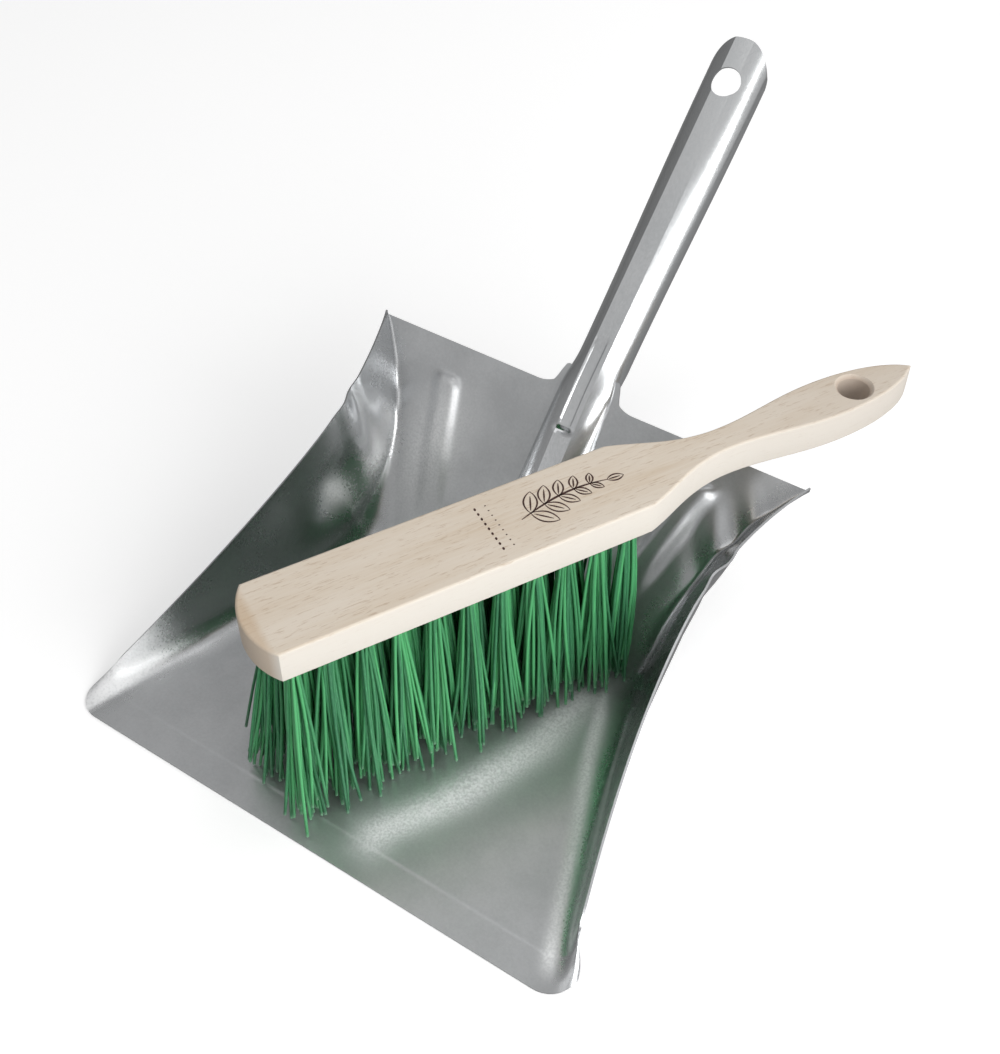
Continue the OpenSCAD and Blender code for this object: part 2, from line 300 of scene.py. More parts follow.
def sweep_mark(x, y):
    """A soft swelling of the floor, from the rear right corner towards the lip."""
    off = (x - 55) * 0.95 - (y - 116) * 0.317
    return swelling * math.exp(-(off / 10) ** 2) * smooth((y - 14) / 24) * smooth((128 - y) / 24)


def ear_folds(x, y):
    """Folds in the back wall where the sheet was pushed together under the ears."""
    near = hump(abs(x), 76, 22) * hump(y, 172, 22)
    depth = right_ear_fold if x > 0 else left_ear_fold
    return depth * near * math.sin((abs(x) + 0.9 * (y - 172)) / wave_len)


def highlight_paint_at(x, y, z):
    """Where highlights are painted onto the scoop as pale, matt patches, from 0 to 1."""
    if x > 0:
        # Painted highlights: a band along the right floor and a band beside the right fold.
        floor_band_x = np.interp(y, (19, 44, 82, 133), (22, 36, 50, 53))
        floor_band = math.exp(-((x - floor_band_x) / 8) ** 2) * smooth(y / 20)
        to_fold = seam_x(y) - np.interp(y, (15, 34, 58, 90, 120), (4, 5.6, 7.2, 11.4, 13))
        beside_fold = math.exp(-((x - to_fold) / 3.2) ** 2) * smooth((y - 2) / 12)
        return 0.85 * max(floor_band, beside_fold) * smooth((128 - y) / 22)
    # Painted highlights: the left front corner of the wall, the left pocket and the left rib.
    front_end = smooth((50 - y) / 26) * smooth((-x - seam_x(y) + 5) / 4)
    pocket = math.exp(-((y - 126) / 6) ** 2 - ((z - 29) / 6) ** 2) * smooth((-x - 70) / 4)
    low_wall = 0.7 * hump(x, -54, 24) * hump(y, 160, 30)
    return max(front_end, pocket, low_wall)


def web(x):
    """How far the back edge runs up beside the handle."""
    beside = abs(x) - web_x
    return web_rise * smooth(1 - beside / 3.6) + web_foot * smooth(1 - beside / 12.0) ** 2


def pan_point(y, s):
    """A point of the scoop's inside, y behind the lip and s across it, negative on the left."""
    p = section(y, s)
    x = math.copysign(p[0], s) if s else 0.0
    back = corner_back(section(0.0, s)[0]) * (1 - smooth(y / 24))
    rise = web(x) * smooth((y - pan_d + 30) / 30) if abs(s) <= 1 else 0.0
    z = p[1] + (rib(x, y) if abs(s) <= 1 else 0.0) + rise * math.tan(wall_slope)
    if s < -2:
        x -= dent_depth * hump(y, 127, 17) * hump(s, -2.42, 0.36)
    flat = smooth((y - lip_d - 2) / 30) * smooth((pan_d - y) / 6) * min(1.0, 3 - abs(s))
    return np.array([x, front_y + y + back + rise, z + waves(x, y) * flat])


print("back edge", round(back_z, 1), "mm high, ears", round(ear_z, 1), "mm")

# %% Make the scoop
depth_rows = stations((0, lip_d - 2, 7), (lip_d - 2, lip_d + 2, 10),
                      (lip_d + 2, floor_d - fold_r, 30), (floor_d - fold_r, floor_d + fold_r, 14),
                      (floor_d + fold_r, pan_d - 9, 40), (pan_d - 9, pan_d, 10))
half_cols = stations((0, 0.08, 2), (0.08, 0.34, 28), (0.34, 1.0, 40), (1.0, 2.0, 14),
                     (2.0, 2.985, 20), (2.985, 3.0, 1))
cols = [-s for s in reversed(half_cols[1:])] + half_cols
inside = np.array([[pan_point(y, s) for s in cols] for y in depth_rows])
normals = np.cross(np.gradient(inside, axis=1), np.gradient(inside, axis=0))
normals /= np.linalg.norm(normals, axis=2)[:, :, None]
skin = np.array([mix(lip_t, sheet_t, smooth(y / lip_d)) for y in depth_rows])[:, None, None]
outside = inside - normals * skin
outside[:, :, 2] = np.maximum(outside[:, :, 2], 0.0)
points, faces = grid_shell(inside, outside)
scoop = make_piece("scoop", points, faces, crease_deg=50)
side_wall = scoop.data.attributes.new("side_wall", "FLOAT", "POINT")
# The second number says where highlights are painted onto the scoop as pale, matt patches.
painted_highlight = scoop.data.attributes.new("painted_highlight", "FLOAT", "POINT")
for vertex, on_side, on_painted_highlight in zip(scoop.data.vertices, side_wall.data, painted_highlight.data):
    x, y, z = vertex.co / MM
    past_seam = abs(x) - (seam_x(y - front_y) - side_fold)
    on_side.value = smooth(past_seam / side_fold)
    on_painted_highlight.value = highlight_paint_at(x, y - front_y, z)
count(scoop)

# %% [markdown]
# ## The handle and its ridge
# The handle is a channel folded from sheet: a narrow flat crown between two creases, and flanks
# that curve down to open rims. Below the back edge it opens into a wider ridge that lies on the
# wall. One section is swept along one line, up the wall and over the bend, because a sweep keeps
# the creases straight while width and height change on the way. The rounded end and the hanging
# hole are cut from the finished channel, as a punch cuts them from the real one.

# %% The line and the section of the handle
grip_slope, grip_len, grip_t = math.radians(40.0), 153.0, 0.9
crown_w, crown_bulge, notch_depth, flat_depth = 8.0, 0.02, 1.7, 0.55
grip_drop, ridge_len, bend = 4.0, 62.0, 10.0
foot = np.array([0.0, front_y + pan_d, back_z])


def curve(a, b, c, d, steps):
    """Points along a cubic curve with four control points, without the first one."""
    a, b, c, d = (np.array(p, float) for p in (a, b, c, d))
    ts = [i / steps for i in range(1, steps + 1)]
    return [a * (1 - t) ** 3 + 3 * b * t * (1 - t) ** 2 + 3 * c * t * t * (1 - t) + d * t ** 3
            for t in ts]


def bend_angle(s):
    return mix(wall_slope, grip_slope, min(1.0, max(0.0, (s + bend) / (2 * bend))))


def line_point(s):
    """A point of the handle's line: straight up the wall, round the bend, straight up the grip."""
    steps = 12
    p = foot.copy()
    if s >= bend or s <= -bend:
        a = grip_slope if s > 0 else wall_slope
        return p + s * np.array([0, math.cos(a), math.sin(a)])
    p += bend * np.array([0, math.cos(grip_slope), math.sin(grip_slope)])
    for i in range(steps):
        a = bend_angle(mix(bend, s, (i + 0.5) / steps))
        p += (s - bend) / steps * np.array([0, math.cos(a), math.sin(a)])
    return p


def on_handle(x, n, s):
    """A point n above the handle's line, x to its side, s along it from the back edge."""
    a = bend_angle(s)
    return line_point(s) + np.array([x, -n * math.sin(a), n * math.cos(a)])


def width_at(s):
    if s < 0:
        return mix(23.6, 28.0, min(1.0, -s / ridge_len))
    return mix(mix(23.6, 22.4, smooth(s / 20)), 25.6, smooth((s - 20) / 110))


def base_at(s):
    return -0.35 - (grip_drop - 0.35) * smooth((s - 1) / 16)


def height_at(s):
    nose = min(1.0, max(0.0, (s + ridge_len) / 15)) ** 0.7
    return mix(0.5, 6.5, nose) if s < 1 else mix(6.5, 10.0, smooth((s - 1) / 16))


def dents(x, s):
    """The pressed notch below the bend and the narrow flat that runs on above it."""
    notch = notch_depth * hump(s, -15.5, 2.3) * hump(x, -0.6, 5.4)
    flat = flat_depth * smooth((s + 14) / 3) * smooth((26 - s) / 9)
    flat *= smooth((2.9 - abs(x + 0.9)) / 0.7)
    return notch + flat


def channel_line(s):
    """The outside of the channel's section, from the left rim over the crown to the right rim."""
    w, h = width_at(s), height_at(s)
    edge = crown_w / 2
    a, d = np.array([edge, h]), np.array([w / 2, 0.0])
    b = np.array([edge + 0.42 * (w / 2 - edge), 0.80 * h])
    c = np.array([w / 2 - 0.08 * (w / 2 - edge), 0.52 * h])
    right = [a] + curve(a, b, c, d, 12)
    crown = [np.array([edge * k, h + crown_bulge * (1 - k * k)])
             for k in [i / 8 - 1 for i in range(1, 16)]]
    return np.array([[-p[0], p[1]] for p in reversed(right)] + crown + right)


def thinner(line, t):
    """The same section moved inwards by the sheet's thickness."""
    step = np.gradient(line, axis=0)
    side = np.stack([step[:, 1], -step[:, 0]], axis=1)
    return line + side / np.linalg.norm(side, axis=1)[:, None] * t


print("handle", grip_len, "mm long past the back edge, ridge", ridge_len, "mm down the wall")

# %% Sweep, round and punch the handle
rows = stations((-ridge_len, -44, 12), (-44, -20, 10), (-20, -11, 14), (-11, 32, 40),
                (32, 134, 30), (134, grip_len + 1, 4))
outer_rows, inner_rows = [], []
for s in rows:
    line = channel_line(s)
    under = thinner(line, grip_t)
    base = base_at(s)
    outer_rows.append([on_handle(x, n + base - dents(x, s), s) for x, n in line])
    inner_rows.append([on_handle(x, max(n, 0.0) + base - dents(x, s), s) for x, n in under])
handle = make_piece("handle_channel", *grid_shell(outer_rows, inner_rows), crease_deg=60)

end_y, end_len = 136.0, 17.0
clear_x, clear_y, hole_back, punch_r = 40, -80, 18.7, 6.0
half = width_at(end_y) / 2 + 0.2
end_arc = [(half * math.cos(a) ** 0.8, end_y + end_len * math.sin(a))
           for a in np.linspace(0, math.pi / 2, 18)[:-1]]
plan = [(-clear_x, clear_y), (clear_x, clear_y), (clear_x, end_y)]
plan += end_arc + [(0, end_y + end_len)]
plan += [(-x, y) for x, y in reversed(end_arc)] + [(-clear_x, end_y)]


def over_grip(x, y, z):
    return foot + np.array([x, y * math.cos(grip_slope) - z * math.sin(grip_slope),
                            y * math.sin(grip_slope) + z * math.cos(grip_slope)])


carve(handle, prism("end_cutter", plan, -60, 60, over_grip), "INTERSECT")
punch = ring(0, grip_len - hole_back, punch_r)
carve(handle, prism("hole_cutter", punch, -20, 20, over_grip), "DIFFERENCE")
tidy_mesh(handle, 17)
count(handle)

# %% [markdown]
# ## The brush block
# The block is one piece of beech: routed to an outline, rounded along its edges with a small
# cutter, then drilled. It is made in the same order. The outline is drawn in the brush's own
# directions, x along it and y across, and rings of that outline at several heights make the
# rounded edges. The hanging hole and the tuft holes are cut last, with one boolean for all.

# %% The brush's own directions
block_low, block_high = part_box("brush_block")
under_z, block_t = block_low.z / MM, (block_high.z - block_low.z) / MM
turn_angle = math.radians(62.0)
brush_at = np.array([-19.2, front_y + 18.8, under_z])
block_len, tail_len, block_w, neck_w, tail_w = 140.0, 128.0, 34.4, 11.4, 20.4


def on_brush(x, y, z):
    c, s = math.cos(turn_angle), math.sin(turn_angle)
    return brush_at + np.array([x * c - y * s, x * s + y * c, z])


print("block", round(block_t, 1), "mm thick, underside at", round(under_z, 1), "mm")

# %% Outline of the block
tip_x, neck_x, grip_x = block_len + tail_len, 181.0, 228.0
side_line = [np.array([x, block_w / 2]) for x in np.linspace(0, block_len, 29)]
side_line += curve((block_len, block_w / 2), (152.3, 13.76), (162.96, neck_w / 2),
                   (neck_x, neck_w / 2), 22)
side_line += curve((neck_x, neck_w / 2), (196.98, neck_w / 2), (210.14, tail_w / 2),
                   (grip_x, tail_w / 2), 18)
tip_line = curve((grip_x, tail_w / 2), (246, tail_w / 2), (260.8, 6.53), (tip_x, 0), 20)
side_line += tip_line[:18] + tip_line[19:]
bulge, n_end = 6.0, 22
bulge_r = ((block_w / 2) ** 2 + bulge ** 2) / (2 * bulge)
bulge_a = math.asin(block_w / 2 / bulge_r)
end_line = [np.array([bulge_r - bulge - bulge_r * math.cos(a), -bulge_r * math.sin(a)])
            for a in np.linspace(-bulge_a, bulge_a, n_end + 1)[1:-1]]
outline = side_line[::-1] + end_line + [np.array([p[0], -p[1]]) for p in side_line[:-1]]
print("outline of", len(outline), "points")

# %% Rings of the outline make rounded edges
def moved_in(line, d):
    """The outline moved inwards by d, with corners kept by the mitre of their two sides."""
    out = []
    for i, p in enumerate(line):
        u, v = p - line[i - 1], line[(i + 1) % len(line)] - p
        u, v = u / np.linalg.norm(u), v / np.linalg.norm(v)
        m = np.array([-(u + v)[1], (u + v)[0]])
        m /= np.linalg.norm(m)
        out.append(p + m * d / max(0.6, m @ np.array([-u[1], u[0]])))
    return out


edge_r, edge_steps = 0.95, 5
quarter = [math.pi / 2 * i / edge_steps for i in range(edge_steps + 1)]
levels = [(edge_r * (1 - math.sin(a)), edge_r * (1 - math.cos(a))) for a in quarter]
levels += [(edge_r * (1 - math.cos(a)), block_t - edge_r * (1 - math.sin(a))) for a in quarter]
rings = [[on_brush(p[0], p[1], z) for p in moved_in(outline, d)] for d, z in levels]
n = len(outline)
faces = [tuple(range(n)), tuple((len(rings) - 1) * n + i for i in reversed(range(n)))]
for k in range(len(rings) - 1):
    for i in range(n):
        a, b = k * n + i, k * n + (i + 1) % n
        faces.append((a, b, b + n, a + n))
block = make_piece("brush_block_beech", [p for r in rings for p in r], faces, crease_deg=80)
count(block)

# %% Drill the hanging hole and the tuft holes
tufts, rows_n, row_gap, tuft_start, tuft_stop = 11, 4, 8.2, 5.0, 7.0
tuft_pitch = (block_len - tuft_start - tuft_stop) / (tufts - 1)
roots = [(tuft_start + tuft_pitch * (k + (r % 2) / 2), (r - 1.5) * row_gap)
         for r in range(rows_n) for k in range(tufts - r % 2)]
hole_x, hole_r, bevel = tip_x - 27.5, 6.2, 1.3
bore_r, bore_d = 2.4, 8.0


def drill(name, stack):
    """A closed cutter from rings of the same number of points, given as (x, y, r, z)."""
    m = 40
    points = [on_brush(u, v, z) for x, y, r, z in stack for u, v in ring(x, y, r, m)]
    sides = [(k * m + i, k * m + (i + 1) % m, (k + 1) * m + (i + 1) % m, (k + 1) * m + i)
             for k in range(len(stack) - 1) for i in range(m)]
    ends = [tuple(range(m - 1, -1, -1)), tuple((len(stack) - 1) * m + i for i in range(m))]
    return make_piece(name, points, sides + ends)


wide_r = hole_r + bevel + 1
hole_stack = [(hole_x, 0, wide_r, -1), (hole_x, 0, hole_r, bevel),
              (hole_x, 0, hole_r, block_t - bevel), (hole_x, 0, wide_r, block_t + 1)]
carve(block, drill("hole_cutter", hole_stack), "DIFFERENCE")
cutters = [drill("tuft_cutter", [(x, y, bore_r, -1), (x, y, bore_r, bore_d)]) for x, y in roots]
joined = bmesh.new()
for cutter in cutters:
    joined.from_mesh(cutter.data)
joined.to_mesh(cutters[0].data)
joined.free()
for cutter in cutters[1:]:
    bpy.data.objects.remove(cutter)
carve(block, cutters[0], "DIFFERENCE")
tidy_mesh(block, 32)
count(block)

# %% [markdown]
# ## The burnt leaf sprig
# The block carries a small mark, burnt in with a hot stamp. A plain leaf sprig and a dotted rule
# stand for it. Each stroke is a thin closed strip that sits a hair above the wood, because a real
# shape keeps its edge at any distance, where a painted pattern would blur.

# %% Strokes of the sprig
def stroke(points, width):
    """A flat closed strip along a line on the block's top, tapered at both ends."""
    line = np.array(points, float)
    step = np.gradient(line, axis=0)
    side = np.stack([-step[:, 1], step[:, 0]], axis=1)
    side /= np.linalg.norm(side, axis=1)[:, None]
    taper = np.array([0.35 + 0.65 * math.sin(math.pi * i / (len(line) - 1))
                      for i in range(len(line))])
    half_w = (width / 2 * taper)[:, None]
    left, right = line + side * half_w, line - side * half_w
    grids = [[[on_brush(a[0], a[1], z), on_brush(b[0], b[1], z)] for a, b in zip(left, right)]
             for z in (block_t + 0.05, block_t - 0.25)]
    return grid_shell(*grids)


def leaf(x, y, angle, length):
    """The two sides and the vein of a leaf that grows from (x, y)."""
    c, s = math.cos(angle), math.sin(angle)
    sides = []
    for sign in (1, -1):
        run = [(length * t, sign * 0.23 * length * math.sin(math.pi * t) ** 0.8)
               for t in np.linspace(0, 1, 12)]
        sides.append([(x + u * c - v * s, y + u * s + v * c) for u, v in run])
    vein = [(x + length * t * c, y + length * t * s) for t in np.linspace(0.12, 0.78, 6)]
    return sides + [vein]


stem = [(96 + 36 * t, -1.5 + 4.5 * math.sin(2.4 * t)) for t in np.linspace(0, 1, 18)]
bold, fine = 0.9, 0.65
strokes = [(stem, bold)]
for i, t in enumerate((2, 5, 8, 11, 14)):
    for sign in (1, -1):
        size = 10.5 - 1.3 * i
        strokes += [(line, fine) for line in leaf(*stem[t], 0.15 + sign * 0.95, size)]
strokes += [(line, fine) for line in leaf(*stem[-1], -0.1, 6.5)]
dash = np.linspace(-0.5, 0.5, 5)
for k in range(9):
    y = -10.4 + 2.6 * k
    strokes.append(([(84 + 0.3 * u, y + 1.3 * u) for u in dash], bold))
    strokes.append(([(88, y + 0.5 * u) for u in dash], 0.7))
points, faces = [], []
for line, width in strokes:
    p, f = stroke(line, width)
    faces += [tuple(i + len(points) for i in face) for face in f]
    points += p
sprig = make_piece("burnt_sprig", points, faces, crease_deg=30)
count(sprig)

# %% [markdown]
# ## The bristles
# A hand brush has hundreds of stiff filaments, pushed into the block in tufts. They repeat, so
# Geometry Nodes make them: one point for each tuft becomes many, one slender filament is copied
# to every point, and each copy is then bent by numbers of its own. Each filament splays from its
# root and ends just above the pan, so the tree works out how high the pan is under its tip. The
# shape is set on the finished copies, because an instance can turn but can't bend.

# %% A short way to write node trees
class Tree:
    """Adds nodes by short calls. An input given as a socket is linked, anything else is set."""

    def __init__(self, tree):
        self.tree = tree

    def feed(self, socket, value):
        if isinstance(value, bpy.types.NodeSocket):
            self.tree.links.new(value, socket)
        else:
            socket.default_value = value

    def add(self, kind, out=0, **given):
        node = self.tree.nodes.new(kind)
        inputs = {k: v for k, v in given.items() if k.startswith("i_") or k.startswith("n_")}
        for key, value in given.items():
            if key not in inputs:
                setattr(node, key, value)
        for key, value in inputs.items():
            by_number = key.startswith("i_")
            self.feed(node.inputs[int(key[2:]) if by_number else key[2:].replace("_", " ")], value)
        return node if out is None else node.outputs[out]

    def math(self, operation, a, b=0.0, c=0.0):
        return self.add("ShaderNodeMath", operation=operation, i_0=a, i_1=b, i_2=c)

    def vector(self, operation, a, b=(0, 0, 0)):
        return self.add("ShaderNodeVectorMath", operation=operation, i_0=a, i_1=b)

    def scale(self, v, f):
        node = self.tree.nodes.new("ShaderNodeVectorMath")
        node.operation = "SCALE"
        self.feed(node.inputs[0], v)
        self.feed(node.inputs["Scale"], f)
        return node.outputs[0]


print("node helper", Tree.__name__, "ready")

# %% The bristle tree
per_tuft, bristle_seed = 30, 7


def build_bristle_tree():
    tree = bpy.data.node_groups.new("bristle_tree", "GeometryNodeTree")
    face = tree.interface
    face.new_socket("Roots", in_out="INPUT", socket_type="NodeSocketGeometry")
    wanted = {"Filaments per tuft": ("Int", per_tuft), "Filament radius": ("Float", 0.63 * MM),
              "Root radius": ("Float", 2.1 * MM), "Tip radius": ("Float", 6.4 * MM),
              "Raggedness": ("Float", 15 * MM), "Crossing": ("Float", 4.6 * MM),
              "Pan floor": ("Float", (sheet_t + 0.7) * MM),
              "Rear fold": ("Float", (front_y + floor_d) * MM),
              "Fold radius": ("Float", fold_r * MM), "Wall rise": ("Float", math.tan(wall_slope)),
              "Seed": ("Int", bristle_seed), "Plastic": ("Material", None)}
    for name, (kind, value) in wanted.items():
        socket = face.new_socket(name, in_out="INPUT", socket_type="NodeSocket" + kind)
        if value is not None:
            socket.default_value = value
    face.new_socket("Bristles", in_out="OUTPUT", socket_type="NodeSocketGeometry")
    t = Tree(tree)
    given = t.add("NodeGroupInput", out=None).outputs
    copies = t.add("GeometryNodeDuplicateElements", domain="POINT", n_Geometry=given["Roots"],
                   n_Amount=given["Filaments per tuft"])

    def draw(low, high, add):
        seed = t.math("ADD", given["Seed"], add)
        node = t.add("FunctionNodeRandomValue", out=None, data_type="FLOAT")
        node.inputs[2].default_value, node.inputs[3].default_value = low, high
        t.feed(node.inputs["Seed"], seed)
        return node.outputs[1]

    def store(geometry, name, value, kind="FLOAT"):
        node = t.add("GeometryNodeStoreNamedAttribute", out=None, data_type=kind, domain="POINT",
                     n_Geometry=geometry, n_Name=name)
        t.feed(node.inputs["Value"], value)
        return node.outputs[0]

    def named(name, kind="FLOAT"):
        return t.add("GeometryNodeInputNamedAttribute", data_type=kind, n_Name=name)

    angle, spread = draw(0, 2 * math.pi, 1), t.math("SQRT", draw(0.02, 1, 2))
    round_dir = t.add("ShaderNodeCombineXYZ", i_0=t.math("COSINE", angle),
                      i_1=t.math("SINE", angle))
    stray = t.add("ShaderNodeCombineXYZ", i_0=draw(-1, 1, 3), i_1=draw(-1, 1, 4))
    at_root = t.scale(round_dir, t.math("MULTIPLY", spread, given["Root radius"]))
    at_tip = t.scale(round_dir, t.math("MULTIPLY", spread, given["Tip radius"]))
    at_tip = t.vector("ADD", at_tip, t.scale(stray, given["Crossing"]))
    at_tip = t.vector("ADD", at_tip, named("lean", "FLOAT_VECTOR"))
    ragged = t.math("MULTIPLY", t.math("POWER", draw(0, 1, 5), 2.2), given["Raggedness"])
    cloud = copies
    for name, value, kind in (("root_offset", at_root, "FLOAT_VECTOR"),
                              ("tip_offset", at_tip, "FLOAT_VECTOR"),
                              ("ragged", ragged, "FLOAT"), ("curl", draw(-1, 1, 6), "FLOAT"),
                              ("shade", draw(0, 1, 8), "FLOAT"),
                              ("root_at", t.add("GeometryNodeInputPosition"), "FLOAT_VECTOR")):
        cloud = store(cloud, name, value, kind)
    rod = t.add("GeometryNodeMeshCylinder", n_Vertices=6, n_Side_Segments=6,
                n_Radius=given["Filament radius"], n_Depth=1.0)
    rod_place = t.add("GeometryNodeInputPosition")
    parts = t.add("ShaderNodeSeparateXYZ", out=None, i_0=rod_place).outputs
    shaped = store(rod, "along", t.math("SUBTRACT", 0.5, parts[2]))
    across = t.add("ShaderNodeCombineXYZ", i_0=parts[0], i_1=parts[1])
    shaped = store(shaped, "around", across, "FLOAT_VECTOR")
    made = t.add("GeometryNodeInstanceOnPoints", n_Points=cloud, n_Instance=shaped)
    made = t.add("GeometryNodeRealizeInstances", n_Geometry=made)

    along, root = named("along"), named("root_at", "FLOAT_VECTOR")
    tip = t.vector("ADD", root, named("tip_offset", "FLOAT_VECTOR"))
    tip_y = t.add("ShaderNodeSeparateXYZ", out=1, i_0=tip)
    past = t.math("SUBTRACT", tip_y, t.math("SUBTRACT", given["Rear fold"], given["Fold radius"]))
    push = t.math("MULTIPLY", t.math("MAXIMUM", t.math("SUBTRACT", past, 5 * MM), 0.0), 0.72)
    left = t.math("SUBTRACT", past, push)
    twice = t.math("MULTIPLY", given["Fold radius"], 2.0)
    soft = t.math("MINIMUM", t.math("MAXIMUM", left, 0.0), twice)
    soft = t.math("DIVIDE", t.math("MULTIPLY", soft, soft), t.math("MULTIPLY", twice, 2.0))
    rise = t.math("ADD", soft, t.math("MAXIMUM", t.math("SUBTRACT", left, twice), 0.0))
    pan_z = t.math("MULTIPLY_ADD", rise, given["Wall rise"], given["Pan floor"])
    end_z = t.math("ADD", pan_z, named("ragged"))
    root_z = t.add("ShaderNodeSeparateXYZ", out=2, i_0=root)
    drop = t.math("MULTIPLY", t.math("SUBTRACT", end_z, root_z), along)
    sweep = t.vector("SUBTRACT", named("tip_offset", "FLOAT_VECTOR"),
                     named("root_offset", "FLOAT_VECTOR"))
    place = t.vector("ADD", root, named("root_offset", "FLOAT_VECTOR"))
    early = t.math("POWER", t.math("MAXIMUM", along, 0.0), 1.15)
    place = t.vector("ADD", place, t.scale(sweep, early))
    late = t.math("POWER", t.math("MAXIMUM", along, 0.0), 2.4)
    back = t.math("MULTIPLY", push, t.math("MULTIPLY", late, -1.0))
    wave = t.math("MULTIPLY", t.math("SINE", t.math("MULTIPLY", along, 3.1)),
                  t.math("MULTIPLY", named("curl"), 1.1 * MM))
    moved = t.add("ShaderNodeCombineXYZ", i_0=wave, i_1=t.math("ADD", back, wave), i_2=drop)
    place = t.vector("ADD", place, moved)
    place = t.vector("ADD", place, named("around", "FLOAT_VECTOR"))
    made = t.add("GeometryNodeSetPosition", n_Geometry=made, n_Position=place)
    made = t.add("GeometryNodeSetShadeSmooth", i_0=made)
    made = t.add("GeometryNodeSetMaterial", n_Geometry=made, n_Material=given["Plastic"])
    t.add("NodeGroupOutput", out=None, i_0=made)
    return tree


bristle_tree = build_bristle_tree()
print("bristle tree of", len(bristle_tree.nodes), "nodes")

# %% Grow the bristles
row_half, seat_z = 12.3, 6.0


def set_input(modifier, tree, name, value):
    for item in tree.interface.items_tree:
        if item.item_type == "SOCKET" and item.in_out == "INPUT" and item.name == name:
            modifier[item.identifier] = value


def lean_of(x, y):
    """The outer tufts lean out over the edges of the block, most of all at its front end."""
    to_front = smooth((46 - x) / 48)
    out = (-9.0 - 3.5 * y / row_half) * to_front + 3.0 * smooth((x - 104) / 30)
    return on_brush(out, (1.6 + 5.0 * to_front) * y / row_half, 0) - on_brush(0, 0, 0)


def grow_bristles(material):
    mesh = bpy.data.meshes.new("bristle_roots")
    mesh.from_pydata([tuple(on_brush(x, y, seat_z) * MM) for x, y in roots], [], [])
    lean = mesh.attributes.new("lean", "FLOAT_VECTOR", "POINT")
    for item, (x, y) in zip(lean.data, roots):
        item.vector = lean_of(x, y) * MM
    piece = bpy.data.objects.new("bristles", mesh)
    bpy.context.scene.collection.objects.link(piece)
    grow = piece.modifiers.new("grow", "NODES")
    grow.node_group = bristle_tree
    set_input(grow, bristle_tree, "Plastic", material)
    set_input(grow, bristle_tree, "Filaments per tuft", per_tuft)
    set_input(grow, bristle_tree, "Seed", bristle_seed)
    apply_modifiers(piece)
    count(piece)
    return piece


print(len(roots), "tufts of", per_tuft, "filaments to grow")

# %% [markdown]
# ## Finishes
# Bright steel is mostly what it mirrors. Its own detail is a fine grain from the zinc, cloudy
# patches that are a little duller, and drawing lines along a folded part. One node group makes
# that for both steels. On the scoop the floor is worn duller by sweeping, and in some places
# highlights are painted on as pale, matt patches: the numbers stored on its points say where.
# Beech has fine fibres and short dark flecks along its length, so its pattern is turned to the
# brush's direction, and its sides are painted paler than its top as a painted highlight. A second
# group makes small irregular specks, for the wood, the burnt mark and the plastic.

# %% Shader groups
def new_group(name, inputs, outputs):
    group = bpy.data.node_groups.new(name, "ShaderNodeTree")
    for label, kind, value in inputs:
        socket = group.interface.new_socket(label, in_out="INPUT", socket_type="NodeSocket" + kind)
        if value is not None:
            socket.default_value = value
    for label, kind in outputs:
        group.interface.new_socket(label, in_out="OUTPUT", socket_type="NodeSocket" + kind)
    t = Tree(group)
    return t, t.add("NodeGroupInput", out=None).outputs, t.add("NodeGroupOutput", out=None).inputs


def blend_colour(t, factor, a, b):
    node = t.add("ShaderNodeMix", out=None, data_type="RGBA")
    for place, value in ((0, factor), (6, a), (7, b)):
        t.feed(node.inputs[place], value)
    return node.outputs[2]


def ramp(t, value, low, high, to_low=0.0, to_high=1.0):
    return t.add("ShaderNodeMapRange", i_0=value, i_1=low, i_2=high, i_3=to_low, i_4=to_high)


def noise(t, place, scale, detail, **more):
    """Blender's noise at some place, scale and detail. Its roughness may be given too."""
    return t.add("ShaderNodeTexNoise", n_Vector=place, n_Scale=scale, n_Detail=detail, **more)


t, g, o = new_group("sheet_finish",
                    [("Place", "Vector", None),
                     ("Patch scale", "Float", 40.0), ("Grain scale", "Float", 900.0),
                     ("Dull tone", "Color", (0.5, 0.5, 0.5, 1)),
                     ("Bright tone", "Color", (0.6, 0.6, 0.6, 1)),
                     ("Smoothest", "Float", 0.2), ("Dullest", "Float", 0.35)],
                    [("Tone", "Color"), ("Roughness", "Float"), ("Relief", "Float")])
patch = noise(t, g["Place"], g["Patch scale"], 3.0, n_Roughness=0.6)
grain = noise(t, g["Place"], g["Grain scale"], 2.0, n_Roughness=0.7)
both = t.math("ADD", t.math("MULTIPLY", patch, 0.65), t.math("MULTIPLY", grain, 0.35))
cloud = ramp(t, both, 0.38, 0.62)
t.feed(o["Tone"], blend_colour(t, cloud, g["Dull tone"], g["Bright tone"]))
span = t.math("SUBTRACT", g["Smoothest"], g["Dullest"])
t.feed(o["Roughness"], t.math("ADD", t.math("MULTIPLY", cloud, span), g["Dullest"]))
t.feed(o["Relief"], t.math("ADD", t.math("MULTIPLY", grain, 0.7), t.math("MULTIPLY", patch, 0.3)))
sheet_group = t.tree

t, g, o = new_group("specks",
                    [("Place", "Vector", None), ("Scale", "Float", 500.0),
                     ("Threshold", "Float", 0.6), ("Softness", "Float", 0.06)],
                    [("Mask", "Float")])
speck = noise(t, g["Place"], g["Scale"], 3.0, n_Roughness=0.65)
full = t.math("ADD", g["Threshold"], g["Softness"])
t.feed(o["Mask"], t.add("ShaderNodeMapRange", i_0=speck, i_1=g["Threshold"], i_2=full))
speck_group = t.tree
print("groups", sheet_group.name, speck_group.name)

